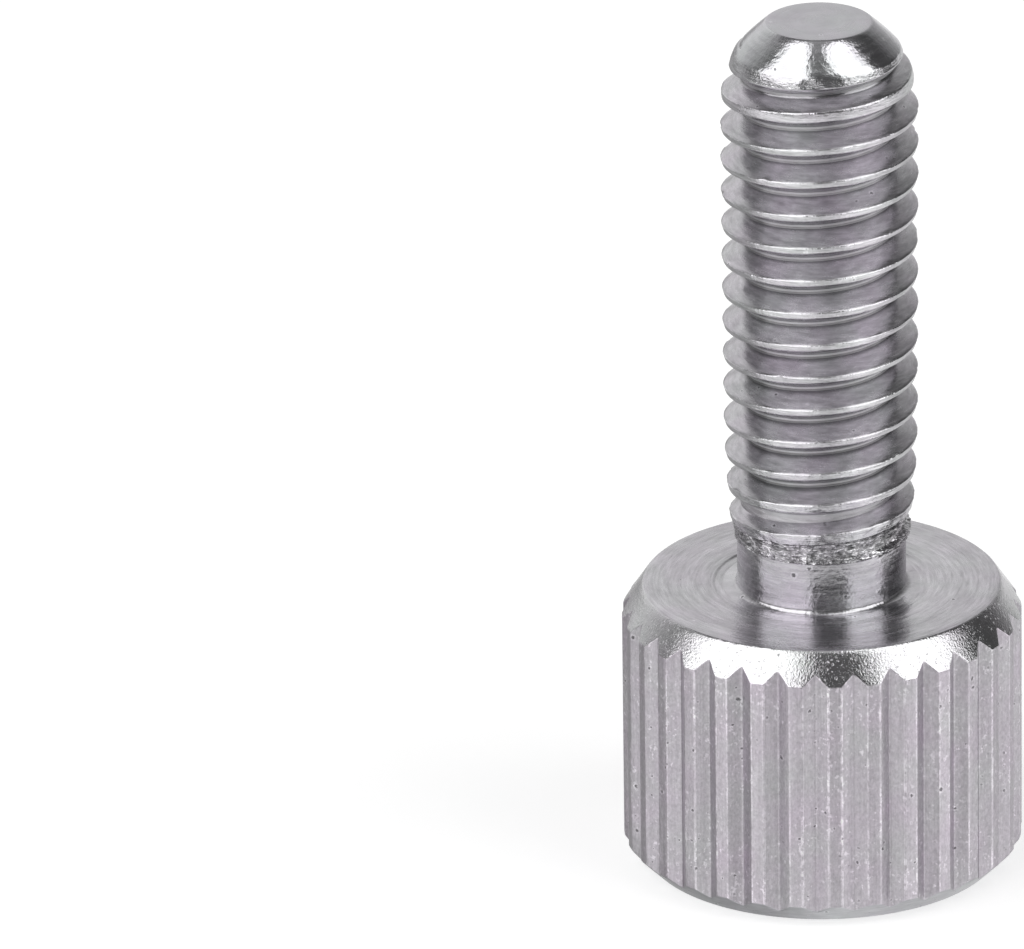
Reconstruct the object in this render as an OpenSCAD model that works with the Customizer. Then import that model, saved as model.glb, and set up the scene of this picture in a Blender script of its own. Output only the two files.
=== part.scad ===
// Knurled thumb screw, one turned stainless steel piece.
// It stands on the end of its head: the head end face is on z = 0,
// the screw's axis is z, and the tip points up. Millimetres.

/* [Head] */
// Diameter over the knurled lands of the head
head_d = 8.1; // [7.2:0.1:9.4]
// Height of the head, end face to bearing face
head_h = 5.9; // [4.5:0.1:7.5]
// Width of the chamfer beside the bearing face, along the radius
bearing_chamfer_w = 0.43; // [0.25:0.01:0.6]
// Height of the chamfer beside the bearing face, along the axis
bearing_chamfer_h = 0.63; // [0.3:0.01:0.9]
// Width of the chamfer round the head end face, along the radius
end_chamfer_w = 0.45; // [0.25:0.01:0.6]
// Height of the chamfer round the head end face, along the axis
end_chamfer_h = 0.45; // [0.25:0.01:0.7]
// Diameter of the shallow turned ring round the neck
relief_d = 4.4; // [4.3:0.1:5]
// Depth of the shallow turned ring round the neck
relief_depth = 0.03; // [0.02:0.01:0.1]

/* [Knurl] */
// Number of straight grooves round the head
groove_count = 32; // [24:1:36]
// Width of a groove at the surface of the head
groove_w = 0.53; // [0.35:0.01:0.6]
// Depth of a groove below the lands
groove_depth = 0.19; // [0.1:0.005:0.3]
// Turn of the knurl about the axis, in degrees
groove_turn = 9.2; // [0:0.1:11]

/* [Shank] */
// Length of the shank, bearing face to tip
shank_l = 12.12; // [9:0.02:16]
// Diameter of the smooth neck under the thread
neck_d = 3.42; // [3.2:0.02:3.6]
// Length of the smooth neck, bearing face to the start of the thread
neck_l = 1.05; // [0.8:0.05:2]
// Radius of the fillet between neck and head
neck_fillet = 0.12; // [0.06:0.01:0.25]
// Diameter of the flat on the tip
tip_flat_d = 2.14; // [1.6:0.02:2.6]
// Height of the cone that leads the thread in, per unit of its radius
tip_rise = 1.06; // [0.7:0.02:1.3]

/* [Thread] */
// Outside diameter of the thread
thread_d = 4; // [3.9:0.02:4.2]
// Advance of the thread in one turn
pitch = 0.7; // [0.6:0.01:0.8]
// Depth of the thread for each unit of pitch
depth_ratio = 0.6; // [0.5:0.01:0.62]
// Width of the flat on a crest for each unit of pitch
crest_ratio = 0.2; // [0.1:0.01:0.24]
// How far the crests sink from tip to head, on the radius
crest_fade = 0.055; // [0:0.005:0.1]
// How far the last crests sink beside the neck, on the radius
neck_sink = 0.14; // [0:0.01:0.2]
// Length of thread over which they sink
neck_sink_l = 2.8; // [1:0.1:4]
// How far the first crests sink at the tip, on the radius
tip_sink = 0.3; // [0:0.02:0.4]
// Length of thread over which they sink
tip_sink_l = 1.9; // [1:0.1:2.4]
// Length over which the thread groove gets shallow beside the neck
runout_l = 1.2; // [0.5:0.1:2.5]
// Height of the slope between the neck and the last crest
shoulder_l = 0.15; // [0.1:0.05:0.4]
// Turn of the thread about the axis, in degrees
thread_turn = 129; // [0:1:359]

/* [Colours] */
// Colour of the steel
steel = "#b9b9bd"; // color

/* [Hidden] */

round_fn = 96;
// degrees between the points of the neck's fillet
fillet_step = 15;
// angle between a thread flank and a plane across the screw
flank_angle = 30;
// straight steps in one turn of the thread
steps = 40;
// joining solids reach into each other by this much
bite = 0.1;

head_r = head_d / 2;
neck_r = neck_d / 2;
crest_r = thread_d / 2;
depth = pitch * depth_ratio;
total_h = head_h + shank_l;

// heights along the shank
relief_z = head_h - relief_depth;
thread_z = head_h + neck_l;
tip_cone_h = (crest_r + bite - tip_flat_d / 2) * tip_rise;

// the shoulder's cone rises from the neck to the last crest
shoulder_rise = shoulder_l / (crest_r - neck_r);
shoulder_foot_z = thread_z - bite * shoulder_rise;
shoulder_top_z = thread_z + shoulder_l + bite * shoulder_rise;

// half the flat at the bottom of the thread groove
crest_w = pitch * crest_ratio;
root_half_w = (pitch - crest_w) / 2 - depth * tan(flank_angle);
// the groove is never drawn shallower than this, inside the neck
least_depth = 0.03;

// whole turns drawn, with spare ones past each end of the thread
spare_turns = 2;
turns = ceil((shank_l - neck_l) / pitch) + 2 * spare_turns;
first_z = thread_z - spare_turns * pitch;
// one turn's groove has four corners: edge, bottom, bottom, edge
corners = 4;
rows = corners * turns;

// what is left of 1 at a distance along the thread, falling to nothing at its end
function left_at(distance, end) = pow(max(0, 1 - max(0, distance) / end), 2);
// how far the crests sit below the full thread, beside the neck and at the tip
function sink_at(z) = neck_sink * left_at(z - thread_z, neck_sink_l)
    + tip_sink * left_at(total_h - z, tip_sink_l);
function crest_at(z) = crest_r
    - crest_fade * max(0, min(1, (total_h - z) / shank_l))
    - sink_at(z);
function depth_at(z) = max(
    least_depth,
    (depth - sink_at(z)) * max(0, min(1, (z - thread_z) / runout_l))
);
// half the width of the groove between its two crests
function edge_half_w_at(z) = root_half_w + (depth - sink_at(z)) * tan(flank_angle);

// corner j of column i
function corner(i, j) =
    let (
        turn_part = i / steps,
        k = floor(j / corners),
        m = j - corners * k,
        groove_z = first_z + pitch * (k + turn_part),
        d = depth_at(groove_z),
        side = m < corners / 2 ? -1 : 1,
        is_edge = m == 0 || m == corners - 1,
        half_w = edge_half_w_at(groove_z) - (is_edge ? 0 : d * tan(flank_angle)),
        z = groove_z + side * half_w,
        r = crest_at(z) - (is_edge ? 0 : d),
        a = 360 * turn_part + thread_turn
    )
    [r * cos(a), r * sin(a), z];

// the points run up each column, column after column round the axis
thread_points = concat(
    [for (i = [0 : steps - 1]) for (j = [0 : rows - 1]) corner(i, j)],
    [[0, 0, first_z], [0, 0, first_z + pitch * turns]]
);
foot = steps * rows;
top = foot + 1;
function at(i, j) = i * rows + j;
last = steps - 1;
thread_faces = concat(
    // sides between neighbouring columns
    [for (i = [0 : steps - 2]) for (j = [0 : rows - 2])
        [at(i, j), at(i, j + 1), at(i + 1, j)]],
    [for (i = [0 : steps - 2]) for (j = [0 : rows - 2])
        [at(i, j + 1), at(i + 1, j + 1), at(i + 1, j)]],
    // the last column meets the first one turn higher
    [for (j = [0 : rows - corners - 2])
        [at(last, j), at(last, j + 1), at(0, j + corners)]],
    [for (j = [0 : rows - corners - 2])
        [at(last, j + 1), at(0, j + corners + 1), at(0, j + corners)]],
    // foot: rim, then the step of one turn
    [for (i = [0 : steps - 2]) [foot, at(i, 0), at(i + 1, 0)]],
    [[foot, at(last, 0), at(0, corners)]],
    [for (j = [0 : corners - 1]) [foot, at(0, j + 1), at(0, j)]],
    // top: rim, then the step of one turn
    [for (i = [0 : steps - 2]) [top, at(i + 1, rows - 1), at(i, rows - 1)]],
    [[top, at(0, rows - 1), at(last, rows - 1 - corners)]],
    [for (j = [rows - 1 - corners : rows - 2]) [top, at(last, j), at(last, j + 1)]]
);

// the turned blank of the head, with both chamfers and the relief ring
module head_blank() {
    rotate_extrude($fn = round_fn)
        polygon([
            [0, 0],
            [head_r - end_chamfer_w, 0],
            [head_r, end_chamfer_h],
            [head_r, head_h - bearing_chamfer_h],
            [head_r - bearing_chamfer_w, head_h],
            [relief_d / 2, head_h],
            [relief_d / 2 - relief_depth, relief_z],
            [0, relief_z]
        ]);
}

// one straight V groove along the side of the head
module groove() {
    over = groove_depth;
    slope = groove_w / 2 / groove_depth;
    translate([0, 0, -bite])
        linear_extrude(head_h + 2 * bite)
            polygon([
                [head_r - groove_depth, 0],
                [head_r + over, (groove_depth + over) * slope],
                [head_r + over, -(groove_depth + over) * slope]
            ]);
}

module head() {
    difference() {
        head_blank();
        for (i = [0 : groove_count - 1])
            rotate([0, 0, 360 * i / groove_count + groove_turn])
                groove();
    }
}

// the smooth neck with its fillet, reaching into the foot of the thread
module neck() {
    fillet_r = neck_r + neck_fillet;
    fillet_z = relief_z + neck_fillet;
    rotate_extrude($fn = round_fn)
        polygon(concat(
            [[0, relief_z - bite], [fillet_r, relief_z - bite]],
            [for (a = [0 : fillet_step : 90])
                [fillet_r - neck_fillet * sin(a), fillet_z - neck_fillet * cos(a)]],
            [[neck_r, thread_z], [neck_r - bite, thread_z + bite], [0, thread_z + bite]]
        ));
}

// the room the thread is kept to: shoulder at its foot, cone at its tip
module thread_room() {
    rotate_extrude($fn = round_fn)
        polygon([
            [0, shoulder_foot_z],
            [neck_r - bite, shoulder_foot_z],
            [crest_r + bite, shoulder_top_z],
            [crest_r + bite, total_h - tip_cone_h],
            [tip_flat_d / 2, total_h],
            [0, total_h]
        ]);
}

module thread() {
    intersection() {
        polyhedron(thread_points, thread_faces, convexity = 40);
        thread_room();
    }
}

module thumb_screw() {
    color(steel) union() {
        head();
        neck();
        thread();
    }
}

thumb_screw();
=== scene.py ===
# A knurled thumb screw standing on its head: fine mesh, steel materials, soft studio light.
#
# The screw is one closed surface. The head is built from rings of columns that crowd at the
# edges of its grooves, and the shank from columns whose points follow the helix upwards.
# Each face belongs to a zone of the surface, and each zone has its own steel.
import math

import bpy
import numpy as np
from mathutils import Matrix, Vector, noise


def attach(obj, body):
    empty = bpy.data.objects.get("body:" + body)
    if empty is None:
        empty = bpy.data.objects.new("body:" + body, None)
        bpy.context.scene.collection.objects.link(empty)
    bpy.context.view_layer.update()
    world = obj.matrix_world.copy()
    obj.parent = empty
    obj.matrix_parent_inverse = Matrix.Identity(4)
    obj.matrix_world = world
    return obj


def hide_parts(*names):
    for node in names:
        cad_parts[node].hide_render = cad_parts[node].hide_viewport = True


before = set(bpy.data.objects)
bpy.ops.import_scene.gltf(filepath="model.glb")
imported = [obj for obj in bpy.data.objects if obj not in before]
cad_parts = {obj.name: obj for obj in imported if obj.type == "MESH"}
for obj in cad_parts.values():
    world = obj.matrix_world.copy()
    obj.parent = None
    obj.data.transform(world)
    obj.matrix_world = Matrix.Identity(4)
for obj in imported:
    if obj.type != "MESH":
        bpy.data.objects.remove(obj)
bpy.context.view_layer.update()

MM = 0.001

# ---------------------------------------------------------------- the head, in millimetres
HEAD_R = 4.05
HEAD_H = 5.9
BEARING_CHAMFER_W = 0.43      # the chamfer towards the thread
BEARING_CHAMFER_H = 0.63
END_CHAMFER_W = 0.45          # the chamfer of the end that the screw stands on
END_CHAMFER_H = 0.45
EDGE = 0.025                  # the small rounding on turned edges
EDGE_DROP = 0.006             # its rows lie this far off the two surfaces that it joins
EDGE_RISE = 0.004
# the rows that round the edge between wall and upper chamfer: inwards, upwards
WALL_TOP_EDGE = ((0.0018, -0.001), (0.0085, 0.0115))

GROOVES = 32
GROOVE_W = 0.53
GROOVE_DEPTH = 0.19
GROOVE_TURN = math.radians(9.2)
GROOVE_ROUND = 0.03           # half the width of the rounded bottom of a groove
LAND_ROUND = 0.012            # the rounding where a groove meets the land
WORN_AT = math.radians(-86)   # the side of the head where the grooves are shallower
WORN_SPREAD = math.radians(10)
WORN_PART = 0.22              # how much of their depth is missing there

# ---------------------------------------------------------------- the neck and the tip
NECK_R = 1.71
NECK_L = 1.05
NECK_FILLET = 0.12
RELIEF_R = 2.2                # the shallow ring sunk round the neck
RELIEF_DEPTH = 0.03
RELIEF_FLOOR_R = 2.0          # the fillet of the neck starts inside this radius

TOTAL_H = 18.02
TIP_R = 1.07
TIP_RISE = 1.06               # height of the tip cone for each millimetre of its radius
TIP_BULGE = 0.05              # how far the cone swells, and over what height
TIP_BULGE_L = 0.85

# ---------------------------------------------------------------- the thread
CREST_R = 2.0
PITCH = 0.7
THREAD_DEPTH = 0.445
THREAD_TURN = math.radians(129)
THREAD_Z = HEAD_H + NECK_L
FLANK_TAN = math.tan(math.radians(30))     # flanks at 60 degrees to each other
CREST_W = 0.10
CREST_LEAN = 0.03             # how far a crest leans back towards the head
CREST_FADE = 0.055            # how much smaller its radius is at the head than at the tip
CREST_ROUND = 0.025
ROOT_ROUND = 0.02
ROOT_HALF_W = (PITCH - CREST_W) / 2 - THREAD_DEPTH * FLANK_TAN
NECK_SINK = 0.14              # how far the crests sink beside the neck, and over what height
NECK_SINK_L = 2.8
TIP_SINK = 0.7                # the same at the tip
TIP_SINK_L = 1.8
RUNOUT_L = 1.2                # the root rises to the neck over this height
SHOULDER_L = 0.15             # height of the slope that the thread starts on
LEAST_DEPTH = 0.03            # the groove is never shallower than this

ROUGH_REACH = 0.06            # how far below a crest its roughness reaches
BURR = 0.006                  # burrs of the crests, and what is added beside the neck
NECK_BURR = 0.016
NECK_BURR_L = 3.2
BURR_SCALE = 7.0
DENT_DEPTH = 0.16             # dents, where their noise is above this level
DENT_FROM = 0.42
DENT_SCALE = 2.1
DENT_SHIFT = (7.3, 1.9, 4.4)
TORN_H = 0.42                 # crests lower than this above the neck are torn
TORN_DEPTH = 0.09
TORN_SCALE = 7.5
TORN_SHIFT = (3.1, 8.2, 0.7)
TORN_RANGE = (-0.02, 0.5)     # the surface is torn between these heights above the neck
TORN_RISE, TORN_FALL = 0.06, 0.12
ROOT_LINE = 0.05              # painted bright line at the bottom of the thread, free of the flanks' shade
SHADOW_LINE_DEPTH = 0.2              # a groove shallower than this has a painted shadow line under its crest
ZONE_MARGIN = 0.012           # how far a zone reaches past the edge that it belongs to

# ---------------------------------------------------------------- fineness of the mesh
# columns on one side of a groove's middle, as shares of half its width
GROOVE_STEPS = (0, 0.06, 0.14, 0.3, 0.62, 0.9, 0.96, 1.03, 1.1)
LAND_STEP = 0.55              # one more column, this far from the groove to mid-land
LAND_EDGE_SHARES = (0.93, 1.07)   # where the worn edge of a land, with its painted highlight, lies, in the same shares
WALL_ROWS = 8
WALL_MARGIN = 0.02            # the wall's rows keep this far from both chamfers
WALL_EASE = 0.03              # and crowd a little towards them
END_FACE_RINGS = (0.5, 1.8, 3.0)
BEARING_RINGS = (3.4, 3.1, 2.8, 2.5)
TIP_FACE_RINGS = (0.95, 0.7, 0.45, 0.2)
END_CHAMFER_SHARES = (0.08, 0.3, 0.55, 0.8, 0.94)
BEARING_CHAMFER_SHARES = (0.06, 0.2, 0.4, 0.6, 0.8, 0.94)
NECK_SHARES = (0.1, 0.3, 0.5, 0.7, 0.88, 1.0)
TIP_CONE_SHARES = (0.25, 0.5, 0.75, 0.93)
SHANK_COLUMNS = 192
# rows of one turn, as shares of the flank's height and of the crest's half width
FLANK_SHARES = np.array([0, 0.07, 0.22, 0.45, 0.68, 0.88, 0.97, 1.03])
CREST_SHARES = np.array([0.3, 0.65])
SPARE_TURNS = 2               # turns that start below the shank
SHANK_MARGIN = 0.08           # the shank's columns start this far below the thread
TOP_CONE_R = 1.4              # and end where the tip cone has this radius
CUT_SAMPLES = 2400            # heights tried where the thread may be cut
CUT_MARGIN = 0.009            # rows closer than this to a cut give way to it
END_MARGIN = 0.012            # and so do rows this close to the shank's ends
SMOOTH_MARGIN = 0.004         # a point this close to the tip cone is never rough
CONE_MARGIN = 0.006           # and a face this close belongs to the cone
SHARP_ANGLE = math.radians(38)

# zones of the surface, in the order of the material slots
ZONES = ["end_face", "end_chamfer", "land", "land_edge", "groove", "chamfer", "bearing",
         "neck", "torn", "crest_shadow_line", "flank", "root", "crest", "tip_cone", "tip_face"]
ZONE = {name: i for i, name in enumerate(ZONES)}


def smooth_min(a, b, k):
    h = np.clip(0.5 + 0.5 * (b - a) / k, 0, 1)
    return b + (a - b) * h - k * h * (1 - h)


def smooth_max(a, b, k):
    return -smooth_min(-a, -b, k)


class Skin:
    """Collects the vertices and faces of one closed surface."""

    def __init__(self):
        self.verts = []
        self.faces = []
        self.zones = []

    def ring(self, angles, radii, heights):
        first = len(self.verts)
        radii = np.broadcast_to(radii, angles.shape)
        heights = np.broadcast_to(heights, angles.shape)
        for a, r, z in zip(angles, radii, heights):
            self.verts.append((r * math.cos(a), r * math.sin(a), float(z)))
        return list(range(first, first + len(angles)))

    def face(self, corners, zone):
        self.faces.append(tuple(corners))
        self.zones.append(ZONE[zone])

    def bridge(self, lower, upper, zones):
        """Joins two rings; zones is one name, or one name for each face."""
        count = len(lower)
        if isinstance(zones, str):
            zones = [zones] * count
        for i in range(count):
            j = (i + 1) % count
            self.face((lower[i], lower[j], upper[j], upper[i]), zones[i])

    def climb(self, angles, below, profile):
        """Adds rings of (radius, height, zone) one above the other; returns the last."""
        for r, z, zone in profile:
            above = self.ring(angles, r, z)
            self.bridge(below, above, zone)
            below = above
        return below

    def fan(self, ring, height, zone, facing_up):
        self.verts.append((0.0, 0.0, height))
        centre = len(self.verts) - 1
        count = len(ring)
        for i in range(count):
            j = (i + 1) % count
            corners = (ring[i], ring[j], centre) if facing_up else (ring[j], ring[i], centre)
            self.face(corners, zone)

    def zip(self, left, left_t, right, right_t, zone_of):
        """Joins two neighbouring chains, pairing points that share a parameter."""
        i = j = 0
        while i < len(left) - 1 or j < len(right) - 1:
            next_left = left_t[i + 1] if i < len(left) - 1 else math.inf
            next_right = right_t[j + 1] if j < len(right) - 1 else math.inf
            if abs(next_left - next_right) < 1e-6:
                corners = (left[i], right[j], right[j + 1], left[i + 1])
                i += 1
                j += 1
            elif next_left < next_right:
                corners = (left[i], right[j], left[i + 1])
                i += 1
            else:
                corners = (left[i], right[j], right[j + 1])
                j += 1
            self.face(corners, zone_of(corners))


# ---------------------------------------------------------------- the knurled head
def groove_columns():
    """Angles of the columns round the head, crowded at the edges of each groove."""
    half = math.pi / GROOVES
    edge = GROOVE_W / 2 / HEAD_R
    right = [edge * s for s in GROOVE_STEPS] + [edge + (half - edge) * LAND_STEP]
    around = [-a for a in reversed(right[1:])] + right + [half]
    return np.array([
        2 * half * i + GROOVE_TURN + a for i in range(GROOVES) for a in around
    ])


def from_groove(angles):
    """Distance from the middle of the nearest groove, along the wall."""
    half = math.pi / GROOVES
    off = (angles - GROOVE_TURN + half) % (2 * half) - half
    return np.abs(off) * HEAD_R


def knurl_radius(angles):
    """Radius of the knurled wall: V grooves with slightly rounded edges and bottoms."""
    turn = (angles - WORN_AT + math.pi) % (2 * math.pi) - math.pi
    worn = WORN_PART * np.exp(-(turn / WORN_SPREAD) ** 2)
    depth = GROOVE_DEPTH * (1 - worn)
    across = np.hypot(from_groove(angles), GROOVE_ROUND)
    wall = HEAD_R - depth + across * depth / (GROOVE_W / 2)
    return smooth_min(wall, np.full_like(wall, HEAD_R), LAND_ROUND)


def wall_zones(angles):
    """Groove, edge or land, for each face between two columns."""
    after = np.append(angles[1:], angles[0] + 2 * math.pi)
    share = from_groove((angles + after) / 2) / (GROOVE_W / 2)
    inner, outer = LAND_EDGE_SHARES
    return ["groove" if s < inner else "land_edge" if s < outer else "land" for s in share]


def build_head(skin):
    """End face, chamfer, knurled wall, upper chamfer and the rim of the bearing face."""
    angles = groove_columns()
    wall = knurl_radius(angles)
    wall_zone = wall_zones(angles)

    end_r = HEAD_R - END_CHAMFER_W
    rings = [skin.ring(angles, r, 0.0) for r in (*END_FACE_RINGS, end_r - EDGE)]
    skin.fan(rings[0], 0.0, "end_face", facing_up=False)
    for inner, outer in zip(rings, rings[1:]):
        skin.bridge(outer, inner, "end_face")

    # both chamfers meet the wall nearer mid-height as the groove gets deeper
    low_meet = (wall - end_r) * END_CHAMFER_H / END_CHAMFER_W
    face_r = HEAD_R - BEARING_CHAMFER_W
    high_meet = HEAD_H - (wall - face_r) * BEARING_CHAMFER_H / BEARING_CHAMFER_W

    rows = [(end_r + 0.25 * EDGE, EDGE_DROP, "end_chamfer")]
    for part in END_CHAMFER_SHARES:
        rows.append((end_r + (wall - end_r) * part, low_meet * part, "end_chamfer"))
    rows.append((wall - EDGE_DROP, low_meet + EDGE_RISE, "end_chamfer"))
    for i in range(WALL_ROWS + 1):
        part = i / WALL_ROWS
        eased = WALL_EASE * math.sin(2 * math.pi * part) / (2 * math.pi)
        height = high_meet - low_meet - 2 * WALL_MARGIN
        rows.append((wall, low_meet + WALL_MARGIN + height * (part - eased), wall_zone))
    # these rows take the lands' edge steel, with its painted highlights
    for inwards, upwards in WALL_TOP_EDGE:
        rows.append((wall - inwards, high_meet + upwards, "land_edge"))
    for part in BEARING_CHAMFER_SHARES:
        rows.append((wall + (face_r - wall) * part,
                     high_meet + (HEAD_H - high_meet) * part, "chamfer"))
    rows.append((face_r - 0.3 * EDGE, HEAD_H - EDGE_DROP, "chamfer"))
    rows.append((face_r - EDGE, HEAD_H, "bearing"))
    return angles, skin.climb(angles, rings[-1], rows)


def build_bearing_face(skin, angles, rim):
    """The turned face, handing over from the head's columns to the shank's."""
    below = skin.climb(angles, rim, [(r, HEAD_H, "bearing") for r in BEARING_RINGS])
    shank_angles = np.arange(SHANK_COLUMNS) * 2 * math.pi / SHANK_COLUMNS
    inner = skin.ring(shank_angles, RELIEF_R + EDGE, HEAD_H)
    # the outer ring is taken from the column nearest angle 0, where the inner one starts
    start = int(np.argmin(np.abs((angles + math.pi) % (2 * math.pi) - math.pi)))
    outer = below[start:] + below[:start + 1]
    outer_t = [t % (2 * math.pi) for t in np.roll(angles, -start)]
    if outer_t[0] > math.pi:
        outer_t[0] -= 2 * math.pi
    outer_t.append(outer_t[0] + 2 * math.pi)
    inner_t = [*shank_angles, 2 * math.pi]
    skin.zip(inner + inner[:1], inner_t, outer, outer_t, lambda corners: "bearing")
    return shank_angles, inner


def build_neck(skin, angles, rim):
    """Relief ring, fillet and smooth neck."""
    relief_z = HEAD_H - RELIEF_DEPTH
    profile = [
        (RELIEF_R + 0.2 * EDGE, HEAD_H - EDGE_DROP, "bearing"),
        (RELIEF_R - 0.35 * RELIEF_DEPTH, HEAD_H - 0.5 * RELIEF_DEPTH, "bearing"),
        (RELIEF_R - RELIEF_DEPTH, relief_z + EDGE_RISE, "bearing"),
        (RELIEF_R - RELIEF_DEPTH - 0.8 * EDGE, relief_z, "bearing"),
        (RELIEF_FLOOR_R, relief_z, "bearing"),
    ]
    for a in np.radians(range(0, 91, 15)):
        r = NECK_R + NECK_FILLET * (1 - math.sin(a))
        profile.append((r, relief_z + NECK_FILLET * (1 - math.cos(a)), "neck"))
    z = relief_z + NECK_FILLET
    for part in NECK_SHARES:
        profile.append((NECK_R, z + (THREAD_Z - SHANK_MARGIN - z) * part, "neck"))
    return skin.climb(angles, rim, profile)


# ---------------------------------------------------------------- the thread
def left_at(distance, end):
    """What is left of 1 at a distance along the thread, falling to nothing at its end."""
    return np.clip(1 - np.clip(distance, 0, None) / end, 0, None) ** 2


def sink_at(z):
    """How far the crests sit below the full thread, beside the neck and at the tip."""
    return (NECK_SINK * left_at(z - THREAD_Z, NECK_SINK_L)
            + TIP_SINK * left_at(TOTAL_H - z, TIP_SINK_L))


def crest_at(z):
    """Radius of the crests at a height."""
    fade = CREST_FADE * np.clip((TOTAL_H - z) / (TOTAL_H - HEAD_H), 0, 1)
    return CREST_R - fade - sink_at(z)


def depth_at(z):
    """Depth of the groove below its crests."""
    runout = np.clip((z - THREAD_Z) / RUNOUT_L, 0, 1)
    return np.clip((THREAD_DEPTH - sink_at(z)) * runout, LEAST_DEPTH, None)


def edge_half_w_at(z):
    """Half the width of the groove between its two crests."""
    return ROOT_HALF_W + (THREAD_DEPTH - sink_at(z)) * FLANK_TAN


def groove_lead(angle):
    """Height of the lowest groove at an angle, which rises by one pitch a turn."""
    return THREAD_Z - SPARE_TURNS * PITCH + PITCH * (angle - THREAD_TURN) / (2 * math.pi)


def from_root(angle, z):
    """Height above the middle of the nearest groove, from minus to plus half a pitch."""
    return (z - groove_lead(angle) + PITCH / 2) % PITCH - PITCH / 2


def thread_profile(angle, z):
    """Radius of the endless thread at a height, with small roundings."""
    off = from_root(angle, z)
    depth = depth_at(z - off)
    crest = crest_at(z)
    edge = edge_half_w_at(z - off)
    flank = (np.abs(off) - edge) / FLANK_TAN + depth
    rise = smooth_max(flank, np.zeros_like(off), ROOT_ROUND)
    # a crest leans back a little toward the head
    width = PITCH - 2 * edge
    below_middle = np.where(off > 0, PITCH / 2 - off, -PITCH / 2 - off)
    lean = CREST_LEAN * np.clip(0.5 + below_middle / width, 0, 1)
    return smooth_min(crest - depth + rise, crest - lean, CREST_ROUND)


def tip_cone(z):
    """Radius of the slightly swollen cone at the tip."""
    part = np.clip((TOTAL_H - z) / TIP_BULGE_L, 0, 1)
    return TIP_R + (TOTAL_H - z) / TIP_RISE + TIP_BULGE * 4 * part * (1 - part)


def shoulder(z):
    """Radius of the short slope from the neck up to the first crest."""
    return NECK_R + (z - THREAD_Z) * (CREST_R - NECK_R) / SHOULDER_L


def shank_radius(angle, z):
    body = np.minimum(thread_profile(angle, z), shoulder(z))
    body = np.maximum(body, np.where(z < THREAD_Z, NECK_R, 0))
    return np.minimum(body, tip_cone(z))


def shank_crossings(angle, z_low, z_high):
    """Heights where the tip cone or the shoulder cuts the thread."""
    z = np.linspace(z_low, z_high, CUT_SAMPLES)
    found = [THREAD_Z]
    for cut in (tip_cone(z), shoulder(z)):
        gap = thread_profile(angle, z) - cut
        for k in np.nonzero(np.diff(np.sign(gap)))[0]:
            part = gap[k] / (gap[k] - gap[k + 1])
            found.append(float(z[k] + part * (z[k + 1] - z[k])))
    return found


def thread_rows(angle, turns):
    """Heights of the rows that follow the helix up one column."""
    heights = []
    for k in range(-SPARE_TURNS, turns):
        middle = groove_lead(angle) + PITCH * k
        slant = depth_at(middle) * FLANK_TAN
        edge = edge_half_w_at(middle)
        half = np.concatenate([
            edge - slant * (1 - FLANK_SHARES), edge + (PITCH / 2 - edge) * CREST_SHARES])
        heights += list(middle - half[::-1]) + [middle] + list(middle + half)
        heights.append(middle + PITCH / 2)
    return np.array(heights), len(heights) // (turns + SPARE_TURNS)


def rough_metal(angle, z, r):
    """Small dents and burrs of the crests, and the torn last turn beside the neck."""
    spot = Vector((r * math.cos(angle), r * math.sin(angle), z))
    near_crest = max(0.0, 1 - (float(crest_at(z)) - r) / ROUGH_REACH)
    height = BURR + NECK_BURR * float(left_at(z - THREAD_Z, NECK_BURR_L))
    burrs = noise.noise(spot * BURR_SCALE) * height
    dents = noise.noise(spot * DENT_SCALE + Vector(DENT_SHIFT)) - DENT_FROM
    dents = max(0.0, dents) * DENT_DEPTH
    start, end = (THREAD_Z + h for h in TORN_RANGE)
    here = max(0.0, min(1.0, (z - start) / TORN_RISE, (end - z) / TORN_FALL))
    torn = abs(noise.noise(spot * TORN_SCALE + Vector(TORN_SHIFT))) * TORN_DEPTH * here
    return near_crest * (burrs - dents) - torn


def shank_zone(angle, r, z):
    """The zone of a place on the shank."""
    if r > tip_cone(z) - CONE_MARGIN:
        return "tip_cone"
    if z < THREAD_Z:
        return "neck"
    off = from_root(angle, z)
    depth = depth_at(z - off)
    edge = edge_half_w_at(z - off)
    root_edge = edge - depth * FLANK_TAN
    # painted shadow: where the groove is shallow, the flank under the crest is a dark zone of
    # its own
    if root_edge < off < edge - ZONE_MARGIN and depth < SHADOW_LINE_DEPTH:
        return "crest_shadow_line"
    crest_below = off < root_edge - ROOT_LINE
    crest_z = z - off - PITCH / 2 if crest_below else z - off + PITCH / 2
    if crest_z < THREAD_Z + TORN_H:
        return "torn"
    if abs(off) > edge - ROOT_ROUND * FLANK_TAN:
        return "crest"
    # the root zone is a painted bright line between the flanks' painted shade
    return "root" if root_edge - ROOT_LINE < off < root_edge + ZONE_MARGIN else "flank"


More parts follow.
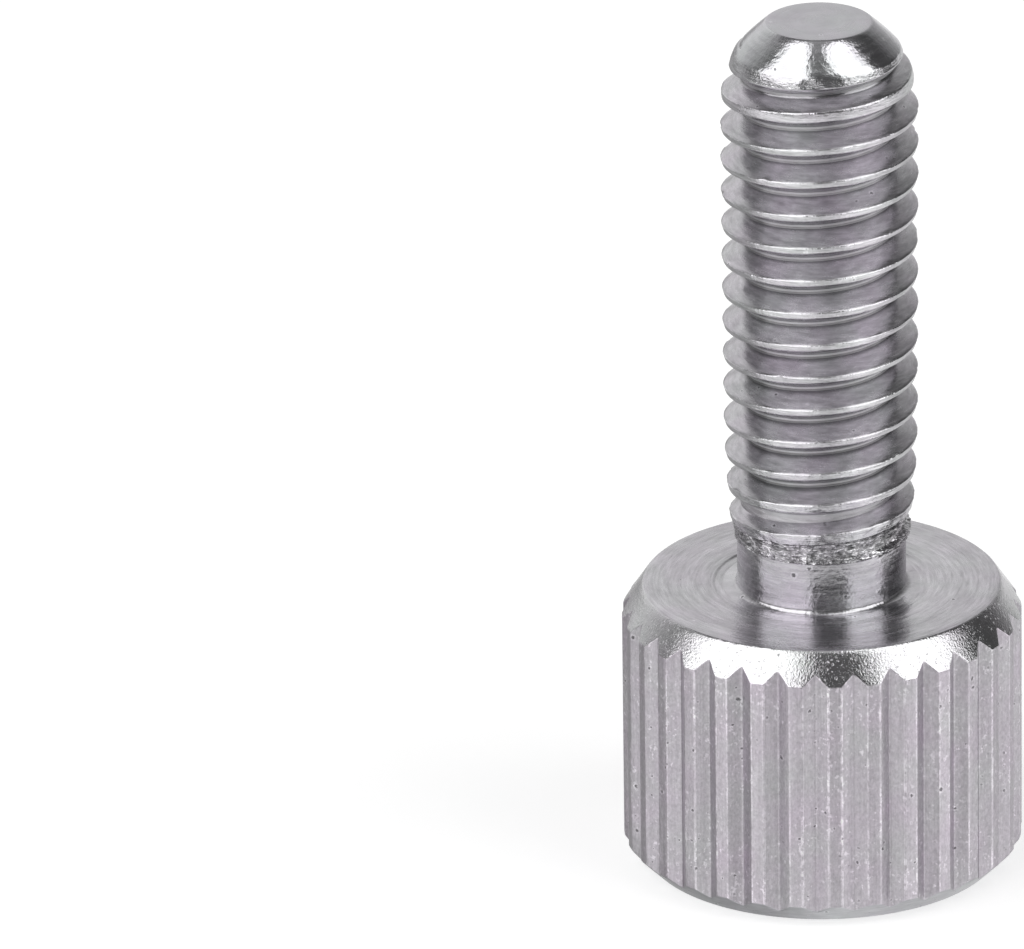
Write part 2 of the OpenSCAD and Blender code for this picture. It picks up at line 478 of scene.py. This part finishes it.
def build_thread(skin, angles, rim):
    """Columns up the shank, each with its rows on the helix, joined side by side."""
    z_low = THREAD_Z - SHANK_MARGIN
    z_high = TOTAL_H - (TOP_CONE_R - TIP_R) * TIP_RISE
    turns = int((z_high - z_low) / PITCH) + 6

    columns = []
    for i, angle in enumerate(angles):
        rows, per_turn = thread_rows(angle, turns)
        cuts = [c for c in shank_crossings(angle, z_low, z_high) if z_low < c < z_high]
        z = rows[(rows > z_low + END_MARGIN) & (rows < z_high - END_MARGIN)]
        for c in cuts:
            z = z[np.abs(z - c) > CUT_MARGIN]
        z = np.sort(np.concatenate([z, cuts]))
        r = shank_radius(angle, z)
        first = len(skin.verts)
        for rr, zz in zip(r, z):
            zz = float(zz)
            if zz > THREAD_Z and rr < tip_cone(zz) - SMOOTH_MARGIN:
                rr = rr + rough_metal(angle, zz, rr)
            skin.verts.append((rr * math.cos(angle), rr * math.sin(angle), zz))
        ids = [rim[i]] + list(range(first, first + len(z)))
        # a point's place is its row's number, so rows of neighbours that match are joined
        places = np.interp(np.concatenate([[z_low], z, [z_high]]), rows, np.arange(len(rows)))
        columns.append([ids, places])

    top = skin.ring(angles, tip_cone(z_high), z_high)
    for column, vertex in zip(columns, top):
        column[0].append(vertex)

    def zone_of(corners):
        points = [skin.verts[c] for c in corners]
        x, y, z = (sum(p[k] for p in points) / len(points) for k in range(3))
        r = sum(math.hypot(p[0], p[1]) for p in points) / len(points)
        return shank_zone(math.atan2(y, x), r, z)

    count = len(columns)
    for i in range(count):
        left_ids, left_places = columns[i]
        right_ids, right_places = columns[(i + 1) % count]
        shift = per_turn if i == count - 1 else 0
        skin.zip(left_ids, left_places, right_ids, right_places - shift, zone_of)
    return z_high, top


def build_tip(skin, angles, z_from, rim):
    """The end of the cone, its rounded edge and the flat face."""
    heights = [z_from + (TOTAL_H - z_from) * part for part in TIP_CONE_SHARES]
    profile = [(tip_cone(z), z, "tip_cone") for z in heights]
    profile.append((TIP_R - 0.1 * EDGE, TOTAL_H - 0.2 * EDGE, "tip_cone"))
    profile += [(r, TOTAL_H, "tip_face") for r in (TIP_R - 1.1 * EDGE, *TIP_FACE_RINGS)]
    last = skin.climb(angles, rim, profile)
    skin.fan(last, TOTAL_H, "tip_face", facing_up=True)


def make_screw():
    skin = Skin()
    head_angles, rim = build_head(skin)
    angles, rim = build_bearing_face(skin, head_angles, rim)
    rim = build_neck(skin, angles, rim)
    z_from, rim = build_thread(skin, angles, rim)
    build_tip(skin, angles, z_from, rim)

    mesh = bpy.data.meshes.new("steel_screw")
    mesh.from_pydata([tuple(c * MM for c in v) for v in skin.verts], [], skin.faces)
    mesh.polygons.foreach_set("material_index", skin.zones)
    mesh.validate()
    mesh.update()
    mesh.shade_smooth()
    mesh.set_sharp_from_angle(angle=SHARP_ANGLE)
    piece = bpy.data.objects.new("steel_screw", mesh)
    bpy.context.scene.collection.objects.link(piece)
    return piece


screw = make_screw()


# ---------------------------------------------------------------- materials
NOISE_LOW, NOISE_HIGH = 0.3, 0.7     # most values of a noise texture lie between these


class Graph:
    """Short names for building a node tree."""

    def __init__(self, tree):
        self.tree = tree
        tree.nodes.clear()

    def node(self, kind, **values):
        node = self.tree.nodes.new(kind)
        for key, value in values.items():
            setattr(node, key, value)
        return node

    def plug(self, value, socket):
        """Links an output to a socket, or sets the socket to a plain value."""
        if isinstance(value, bpy.types.NodeSocket):
            self.tree.links.new(value, socket)
        elif isinstance(value, tuple):
            socket.default_value = (*value, 1.0)[:len(socket.default_value)]
        else:
            socket.default_value = value

    def math(self, operation, *values):
        node = self.node("ShaderNodeMath", operation=operation)
        for socket, value in zip(node.inputs, values):
            self.plug(value, socket)
        return node.outputs[0]

    def chain(self, operation, values):
        result = values[0]
        for value in values[1:]:
            result = self.math(operation, result, value)
        return result

    def times(self, *values):
        return self.chain("MULTIPLY", values)

    def plus(self, *values):
        return self.chain("ADD", values)

    def ramp(self, value, low, high, out_low=0.0, out_high=1.0, kind="LINEAR"):
        node = self.node("ShaderNodeMapRange", interpolation_type=kind)
        for name, number in (("Value", value), ("From Min", low), ("From Max", high),
                             ("To Min", out_low), ("To Max", out_high)):
            self.plug(number, node.inputs[name])
        return node.outputs["Result"]

    def rise(self, value, at, soft, low=0.0, high=1.0):
        """Climbs smoothly from low to high around a value."""
        return self.ramp(value, at - soft, at + soft, low, high, "SMOOTHSTEP")

    def fall(self, value, at, soft):
        """Falls smoothly from 1 to 0 around a value."""
        return self.rise(value, at, soft, 1.0, 0.0)

    def window(self, value, start, end, soft):
        """1 between start and end, falling off smoothly over soft on both sides."""
        return self.times(self.rise(value, start, soft), self.fall(value, end, soft))

    def swing(self, noise, low, high):
        """A noise, which swings between low and high instead of round one half."""
        return self.ramp(noise, NOISE_LOW, NOISE_HIGH, low, high)

    def fade_to(self, mask, factor):
        """1 where a mask is 0, and the factor where it is 1."""
        return self.ramp(mask, 0, 1, 1.0, factor)

    def mix(self, factor, a, b):
        node = self.node("ShaderNodeMix", data_type="RGBA")
        self.plug(factor, node.inputs["Factor"])
        colours = [s for s in node.inputs if s.type == "RGBA"]
        self.plug(a, colours[0])
        self.plug(b, colours[1])
        return [s for s in node.outputs if s.type == "RGBA"][0]

    def shaded(self, colour, value):
        """A colour made darker or lighter by a number."""
        node = self.node("ShaderNodeVectorMath", operation="SCALE")
        self.plug(colour, node.inputs[0])
        self.plug(value, node.inputs["Scale"])
        return node.outputs[0]

    def vector(self, x, y, z):
        node = self.node("ShaderNodeCombineXYZ")
        for socket, value in zip(node.inputs, (x, y, z)):
            self.plug(value, socket)
        return node.outputs[0]

    def noise(self, place, scale, detail=2.0, rough=0.5):
        node = self.node("ShaderNodeTexNoise")
        self.plug(scale, node.inputs["Scale"])
        self.plug(detail, node.inputs["Detail"])
        self.plug(rough, node.inputs["Roughness"])
        self.plug(place, node.inputs["Vector"])
        return node.outputs["Fac"]


class Steel:
    """A steel material in the making, with its places in millimetres."""

    def __init__(self, name, tint, rough, aniso=0.0):
        self.material = bpy.data.materials.new(name)
        self.material.use_nodes = True
        graph = self.graph = Graph(self.material.node_tree)
        self.tint = tint
        out = graph.node("ShaderNodeOutputMaterial")
        self.shader = graph.node("ShaderNodeBsdfPrincipled")
        graph.plug(self.shader.outputs[0], out.inputs["Surface"])
        self.shader.inputs["Metallic"].default_value = 1.0
        self.shader.inputs["Roughness"].default_value = rough
        if aniso:
            # a quarter turn lays the highlight across the turning marks
            self.shader.inputs["Anisotropic"].default_value = aniso
            self.shader.inputs["Anisotropic Rotation"].default_value = 0.25
            tangent = graph.node("ShaderNodeTangent", direction_type="RADIAL", axis="Z")
            graph.plug(tangent.outputs[0], self.shader.inputs["Tangent"])
        coords = graph.node("ShaderNodeTexCoord")
        split = graph.node("ShaderNodeSeparateXYZ")
        graph.plug(coords.outputs["Object"], split.inputs[0])
        self.x, self.y, self.z = (graph.times(split.outputs[k], 1 / MM) for k in range(3))
        self.radius = graph.math("SQRT", graph.plus(
            graph.times(self.x, self.x), graph.times(self.y, self.y)))
        self.point = graph.vector(self.x, self.y, self.z)

    def stretched(self, across, along):
        """Places drawn out along the axis or round it."""
        return self.graph.vector(self.graph.times(self.x, across),
                                 self.graph.times(self.y, across),
                                 self.graph.times(self.z, along))

    def rings(self, run, wander=0.12):
        """Places drawn out round the axis, by radius or by height."""
        return self.graph.vector(run, self.graph.times(self.x, wander),
                                 self.graph.times(self.y, wander))

    def flecks(self, scale, size, share, shift=0.0):
        """Two masks: the heart and the rim of small scattered pits, for painted shade and
        painted highlight.

        The scale is in cells to the millimetre, the size in millimetres, and the share is
        of the cells that hold a pit.
        """
        graph = self.graph
        cells = graph.node("ShaderNodeTexVoronoi")
        graph.plug(scale, cells.inputs["Scale"])
        moved = graph.vector(graph.plus(self.x, shift), self.y, self.z)
        graph.plug(moved, cells.inputs["Vector"])
        draw = graph.node("ShaderNodeSeparateColor")
        graph.plug(cells.outputs["Color"], draw.inputs[0])
        here = graph.math("LESS_THAN", draw.outputs[0], share)
        reach = graph.ramp(draw.outputs[1], 0, 1, 0.5 * size * scale, size * scale)
        ragged = graph.swing(graph.noise(self.point, 24.0), -0.45, 0.45)
        part = graph.plus(graph.math("DIVIDE", cells.outputs["Distance"], reach), ragged)
        heart = graph.times(here, graph.ramp(part, 0.6, 1.0, 1.0, 0.0, "SMOOTHSTEP"))
        rim = graph.times(here, graph.ramp(part, 1.0, 1.3),
                          graph.ramp(part, 1.5, 2.0, 1.0, 0.0))
        return heart, rim

    def pitted(self, shade, heart, rim, dark, bright):
        """A shade with painted shade in the hearts of pits and painted highlights at their
        rims.
        """
        return self.graph.times(shade, self.graph.fade_to(heart, dark),
                                self.graph.fade_to(rim, bright))

    def colour(self, shade, violet=0.5):
        """The tint, wandering between a violet and a green grey, times a shade."""
        graph = self.graph
        red, green, blue = self.tint
        wander = graph.swing(graph.noise(self.point, 1.1, 3.0), 0.0, 1.0)
        tint = graph.mix(wander, (red * 1.01, green * (1 - 0.03 * violet), blue * 1.02),
                         (red * 0.98, green * 1.01, blue * 0.99))
        graph.plug(graph.shaded(tint, shade), self.shader.inputs["Base Color"])

    def rough(self, value):
        self.graph.plug(value, self.shader.inputs["Roughness"])

    def bump(self, height, depth_mm):
        bump = self.graph.node("ShaderNodeBump")
        bump.inputs["Strength"].default_value = 1.0
        bump.inputs["Distance"].default_value = depth_mm * MM
        self.graph.plug(height, bump.inputs["Height"])
        self.graph.plug(bump.outputs[0], self.shader.inputs["Normal"])


def turned(name, tint, rough, scale=20.0, depth_mm=0.003, contrast=0.2, along="r",
           aniso=0.0, grit=0.0, grit_scale=14.0, near_root=None, pits=0.3, pit_size=0.035,
           stipple=0.0):
    """Steel with fine turning marks that run round the axis, and scattered grit.

    The marks follow each other by radius or, along "z", by height. Painted shade darkens
    the steel from the second radius of near_root to the first.
    """
    steel = Steel(name, tint, rough, aniso)
    graph = steel.graph
    run = steel.radius if along == "r" else steel.z
    fine = graph.noise(steel.rings(run), scale, 3.0, 0.65)
    coarse = graph.noise(steel.rings(run, 0.05), scale * 0.22, 2.0)
    blotch = graph.noise(steel.point, 1.6, 3.0)
    stain = graph.noise(steel.point, 3.5, 3.0)
    shade = graph.times(graph.swing(stain, 0.95, 1.04),
                        graph.swing(fine, 1 - contrast, 1 + 0.5 * contrast),
                        graph.swing(coarse, 1 - 0.4 * contrast, 1 + 0.2 * contrast))
    heart, rim = steel.flecks(3.1, pit_size, pits)
    # painted shade in the pits' hearts and painted highlights at their rims
    shade = steel.pitted(shade, heart, rim, 0.35, 1.25)
    # painted shade on the flanks, deepening towards the root of the thread
    if near_root:
        shade = graph.times(shade, graph.ramp(steel.radius, *near_root, ROOT_SHADE, 1.0))
    steel.colour(shade)
    steel.rough(graph.plus(graph.swing(fine, rough - 0.05, rough + 0.07),
                           graph.swing(blotch, -0.04, 0.04)))
    height = graph.math("SUBTRACT", graph.plus(fine, graph.times(coarse, 0.8)), heart)
    if grit:
        grains = graph.noise(steel.point, grit_scale, 2.0, 0.6)
        height = graph.plus(height, graph.times(grains, grit))
    if stipple:
        dots, _ = steel.flecks(11.0, 0.034, 0.6, shift=3.0)
        height = graph.math("SUBTRACT", height, graph.times(dots, stipple))
    steel.bump(height, depth_mm)
    return steel.material


def knurled(name, tint, edge=0.0):
    """Steel drawn by the knurling wheel: lines up the wall, wear, pits, and on edges painted
    highlights.
    """
    steel = Steel(name, tint, 0.35)
    graph = steel.graph
    lines = graph.noise(steel.stretched(1, 0.03), 15.0, 4.0, 0.7)
    bands = graph.noise(steel.stretched(1, 0.06), 3.5, 2.0)
    grain = graph.noise(steel.stretched(1, 0.6), 22.0, 3.0, 0.65)
    mottle = graph.noise(steel.point, 8.0, 4.0, 0.7)
    wear = graph.noise(steel.stretched(1, 0.35), 2.4, 3.0)
    shade = graph.times(graph.swing(lines, 0.88, 1.09),
                        graph.swing(bands, 0.95, 1.04),
                        graph.ramp(grain, 0.25, 0.75, 0.82, 1.15),
                        graph.swing(mottle, 0.90, 1.09))
    # bright specks where the wall is worn, and worn crumbs and painted highlights on land
    # edges
    specks = graph.ramp(graph.noise(steel.stretched(1, 0.8), 12.0, 2.0), 0.6, 0.68)
    specks = graph.times(specks, graph.ramp(wear, 0.4, 0.6), 0.45)
    shade = graph.times(shade, graph.plus(specks, 1.0))
    if edge:
        broken = graph.noise(steel.stretched(1, 0.7), 11.0, 3.0, 0.7)
        here = graph.ramp(wear, 0.4, 0.56, 0.2, 1.0)
        # painted highlight: partly worn crumbs, partly bright edge lines painted into the
        # colour
        worn_crumbs_and_highlight = graph.times(graph.ramp(broken, 0.42, 0.56), here, edge)
        shade = graph.times(shade, graph.plus(worn_crumbs_and_highlight, 1.0))
    heart, rim = steel.flecks(3.4, 0.045, 0.3)
    small, small_rim = steel.flecks(6.0, 0.032, 0.35, shift=5.0)
    worn = graph.ramp(wear, 0.45, 0.6)
    heart = graph.math("MAXIMUM", heart, graph.times(small, worn))
    rim = graph.math("MAXIMUM", rim, graph.times(small_rim, worn))
    # painted shade in the pits' hearts and painted highlights at their rims
    steel.colour(steel.pitted(shade, heart, rim, 0.4, 1.22), violet=1.0)
    steel.rough(graph.swing(lines, 0.30, 0.42))
    height = graph.plus(graph.times(lines, 0.6), graph.times(grain, 0.7),
                        graph.times(mottle, 0.8))
    steel.bump(graph.math("SUBTRACT", height, graph.times(heart, 0.8)), depth_mm=0.007)
    return steel.material


def torn_metal():
    """The last turn beside the neck, where the die tore the metal."""
    steel = Steel("torn", (0.66, 0.645, 0.665), 0.12)
    graph = steel.graph
    shreds = graph.noise(steel.stretched(0.7, 2.4), 5.5, 3.0, 0.6)
    sparks = graph.noise(steel.stretched(0.9, 1.6), 11.0, 2.0)
    worst = graph.ramp(graph.noise(steel.point, 0.9), 0.35, 0.6, 0.35, 1.0)
    # painted glints and shade: brighter on the sparks, darker where the torn surface is low
    steel.colour(graph.times(graph.ramp(shreds, 0.4, 0.56, 0.4, 1.0),
                             graph.ramp(sparks, 0.48, 0.6, 0.75, 1.5)))
    height = graph.plus(shreds, graph.times(sparks, 0.7))
    steel.bump(graph.times(height, worst), depth_mm=0.055)
    return steel.material


GREY = (0.63, 0.612, 0.64)
ROOT_SHADE = 0.36             # painted shade: what is left of the flanks' colour at the root
MATERIALS = {
    "end_face": turned("end_face", GREY, 0.34, scale=22.0, depth_mm=0.004),
    "end_chamfer": turned("end_chamfer", (0.62, 0.62, 0.64), 0.32, scale=22.0,
                          depth_mm=0.004),
    "land": knurled("land", (0.60, 0.568, 0.605)),
    # painted highlight and wear: the lands' edges are a little lighter, with bright worn
    # crumbs
    "land_edge": knurled("land_edge", (0.61, 0.58, 0.615), edge=0.5),
    # painted shade: the grooves are a darker tint than the lands
    "groove": knurled("groove", (0.55, 0.525, 0.555)),
    "chamfer": turned("chamfer", (0.72, 0.71, 0.725), 0.09, scale=30.0, depth_mm=0.0012,
                      contrast=0.1, grit=6.0, grit_scale=22.0, stipple=4.5),
    "bearing": turned("bearing", GREY, 0.22, scale=14.0, depth_mm=0.007, contrast=0.28,
                      aniso=0.5, grit=0.35),
    "neck": turned("neck", GREY, 0.2, scale=12.0, depth_mm=0.005, contrast=0.25,
                   along="z", aniso=0.4, grit=1.8, grit_scale=9.0, pits=0.9,
                   pit_size=0.045),
    "torn": torn_metal(),
    # painted shadow: a near-black zone under the crests of shallow grooves
    "crest_shadow_line": turned("crest_shadow_line", (0.13, 0.125, 0.135), 0.3, along="z"),
    # painted shade: the flanks darken towards the root
    "flank": turned("flank", GREY, 0.22, contrast=0.28, along="z", near_root=(1.52, 1.61)),
    # painted light: the root keeps its plain colour, a bright line between the flanks'
    # painted shade
    "root": turned("root", (0.55, 0.54, 0.56), 0.35, along="z"),
    "crest": turned("crest", (0.74, 0.73, 0.75), 0.17, scale=24.0, depth_mm=0.006,
                    contrast=0.3, along="z", grit=1.5),
    "tip_cone": turned("tip_cone", (0.64, 0.635, 0.655), 0.13, scale=14.0,
                       depth_mm=0.0014, contrast=0.12, grit=3.5, grit_scale=11.0),
    "tip_face": turned("tip_face", (0.60, 0.59, 0.615), 0.3, scale=16.0, depth_mm=0.002,
                       contrast=0.1),
}
for zone in ZONES:
    screw.data.materials.append(MATERIALS[zone])

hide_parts("thumb_screw")
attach(screw, "root")


# ---------------------------------------------------------------- studio
# Places in the room are in degrees: azimuth from the camera's side, positive to its
# right, and elevation. A strength of 1 is white.
FLOOR_LIGHT = 1.10            # of the floor and the room below the horizon, in the steel
BACK_LIGHT = 0.92             # of the white backdrop behind the screw
BOX_LIGHT = 2.1               # of the two soft boxes left and right of the camera

CEILING = (56, 84, 0.14, 0.45)        # from one elevation to the other, dim to bright
LEFT_BACK = (104, 144, 0.22, 0.95)    # the same from the side to the middle of the back
RIGHT_BACK = (124, 178, -0.05, 0.88)
BACK_SIDE, BACK_SIDE_SOFT = 100, 8    # the backdrop starts at this azimuth on both sides
BACK_TOP, BACK_TOP_SOFT = 46, 10      # and ends at this elevation
LEFT_BOX = (-92, -14)
RIGHT_BOX = (38, 92)
BOX_HEIGHT, BOX_HEIGHT_SOFT = (14, 75), 5
BOX_SOFT = 4
LEAN_FROM = 50                # above this elevation the boxes' inner edges lean apart
LEFT_LEAN, RIGHT_LEAN = 0.85, 0.8
# sectors of the floor, dimmer behind on the left and brighter beside the camera
FLOOR_SECTORS = ((-172, -92, 0.46), (-66, -18, 1.12), (2, 30, 0.78), (52, 94, 1.2),
                 (104, 168, 0.8))
SECTOR_SOFT = 6
HORIZON_SOFT = 3

FLOOR_HALF_W = 6.0            # metres
FLOOR_DROP = 0.00001          # keeps the floor clear of the end face
FLOOR_GREY = 0.6
FLOOR_GLOW = 0.6              # lifts the floor to white for the camera alone


def make_floor():
    w = FLOOR_HALF_W
    mesh = bpy.data.meshes.new("floor")
    mesh.from_pydata([(-w, -w, 0), (w, -w, 0), (w, w, 0), (-w, w, 0)], [], [(0, 1, 2, 3)])
    floor = bpy.data.objects.new("floor", mesh)
    floor.location.z = -FLOOR_DROP
    bpy.context.scene.collection.objects.link(floor)
    # the steel mirrors the room below the horizon in its place
    floor.visible_glossy = False
    material = bpy.data.materials.new("floor_white")
    material.use_nodes = True
    graph = Graph(material.node_tree)
    out = graph.node("ShaderNodeOutputMaterial")
    diffuse = graph.node("ShaderNodeBsdfDiffuse")
    graph.plug((FLOOR_GREY,) * 3, diffuse.inputs["Color"])
    glow = graph.node("ShaderNodeEmission")
    path = graph.node("ShaderNodeLightPath")
    strength = graph.times(path.outputs["Is Camera Ray"], FLOOR_GLOW)
    graph.plug(strength, glow.inputs["Strength"])
    add = graph.node("ShaderNodeAddShader")
    graph.plug(diffuse.outputs[0], add.inputs[0])
    graph.plug(glow.outputs[0], add.inputs[1])
    graph.plug(add.outputs[0], out.inputs["Surface"])
    mesh.materials.append(material)


def make_world():
    """What the steel mirrors: ceiling, backdrop, two soft boxes and the floor."""
    world = bpy.data.worlds.new("studio")
    world.use_nodes = True
    bpy.context.scene.world = world
    graph = Graph(world.node_tree)
    out = graph.node("ShaderNodeOutputWorld")
    coords = graph.node("ShaderNodeTexCoord")
    split = graph.node("ShaderNodeSeparateXYZ")
    graph.plug(coords.outputs["Generated"], split.inputs[0])
    azimuth = graph.math("ARCTAN2", split.outputs[0], graph.times(split.outputs[1], -1.0))
    azimuth = graph.times(azimuth, math.degrees(1))
    elevation = graph.times(graph.math("ARCSINE", split.outputs[2]), math.degrees(1))
    side = graph.math("ABSOLUTE", azimuth)

    # above the horizon
    behind = graph.plus(
        graph.times(graph.ramp(side, *LEFT_BACK), graph.fall(azimuth, 0, 1)),
        graph.times(graph.ramp(side, *RIGHT_BACK), graph.rise(azimuth, 0, 1)))
    behind = graph.times(behind, graph.rise(side, BACK_SIDE, BACK_SIDE_SOFT),
                         graph.fall(elevation, BACK_TOP, BACK_TOP_SOFT), BACK_LIGHT)
    high = graph.math("MAXIMUM", graph.plus(elevation, -LEAN_FROM), 0.0)
    lean_left = graph.plus(azimuth, graph.times(high, LEFT_LEAN))
    lean_right = graph.plus(azimuth, graph.times(high, RIGHT_LEAN))
    left_box = graph.times(graph.rise(azimuth, LEFT_BOX[0], BOX_SOFT),
                           graph.fall(lean_left, LEFT_BOX[1], BOX_SOFT))
    right_box = graph.times(graph.rise(lean_right, RIGHT_BOX[0], BOX_SOFT),
                            graph.fall(azimuth, RIGHT_BOX[1], BOX_SOFT))
    boxes = graph.times(graph.math("MAXIMUM", left_box, right_box),
                        graph.window(elevation, *BOX_HEIGHT, BOX_HEIGHT_SOFT), BOX_LIGHT)
    above = graph.plus(graph.ramp(elevation, *CEILING), behind, boxes)

    # below it
    below = FLOOR_LIGHT
    for start, end, gain in FLOOR_SECTORS:
        sector = graph.window(azimuth, start, end, SECTOR_SOFT)
        below = graph.times(graph.fade_to(sector, gain), below)

    level = graph.plus(graph.times(above, graph.rise(elevation, 0, HORIZON_SOFT)),
                       graph.times(below, graph.fall(elevation, 0, HORIZON_SOFT)))
    lit = graph.node("ShaderNodeBackground")
    graph.plug(level, lit.inputs["Strength"])
    # the camera sees plain white
    white = graph.node("ShaderNodeBackground")
    white.inputs["Color"].default_value = (1, 1, 1, 1)
    path = graph.node("ShaderNodeLightPath")
    mix = graph.node("ShaderNodeMixShader")
    graph.plug(path.outputs["Is Camera Ray"], mix.inputs[0])
    graph.plug(lit.outputs[0], mix.inputs[1])
    graph.plug(white.outputs[0], mix.inputs[2])
    graph.plug(mix.outputs[0], out.inputs["Surface"])


CAMERA_AT = (0.0, -0.29555820525, 0.13165947706)      # metres
CAMERA_YAW = math.radians(1.2094)
CAMERA_PITCH = math.radians(-22.6570)
CAMERA_ROLL = math.radians(-0.7699)
CAMERA_LENS = 557.83          # millimetres, on a sensor 36 wide


def make_camera():
    camera = bpy.data.cameras.new("camera")
    camera.sensor_fit = "HORIZONTAL"
    camera.sensor_width = 36.0
    camera.lens = CAMERA_LENS
    camera.clip_start = 0.01
    camera.clip_end = 50
    view = bpy.data.objects.new("camera", camera)
    view.matrix_world = (Matrix.Translation(CAMERA_AT)
                         @ Matrix.Rotation(CAMERA_YAW, 4, "Z")
                         @ Matrix.Rotation(math.radians(90) + CAMERA_PITCH, 4, "X")
                         @ Matrix.Rotation(CAMERA_ROLL, 4, "Z"))
    bpy.context.scene.collection.objects.link(view)
    bpy.context.scene.camera = view


make_camera()
make_floor()
make_world()

bpy.context.scene.view_settings.view_transform = "Standard"
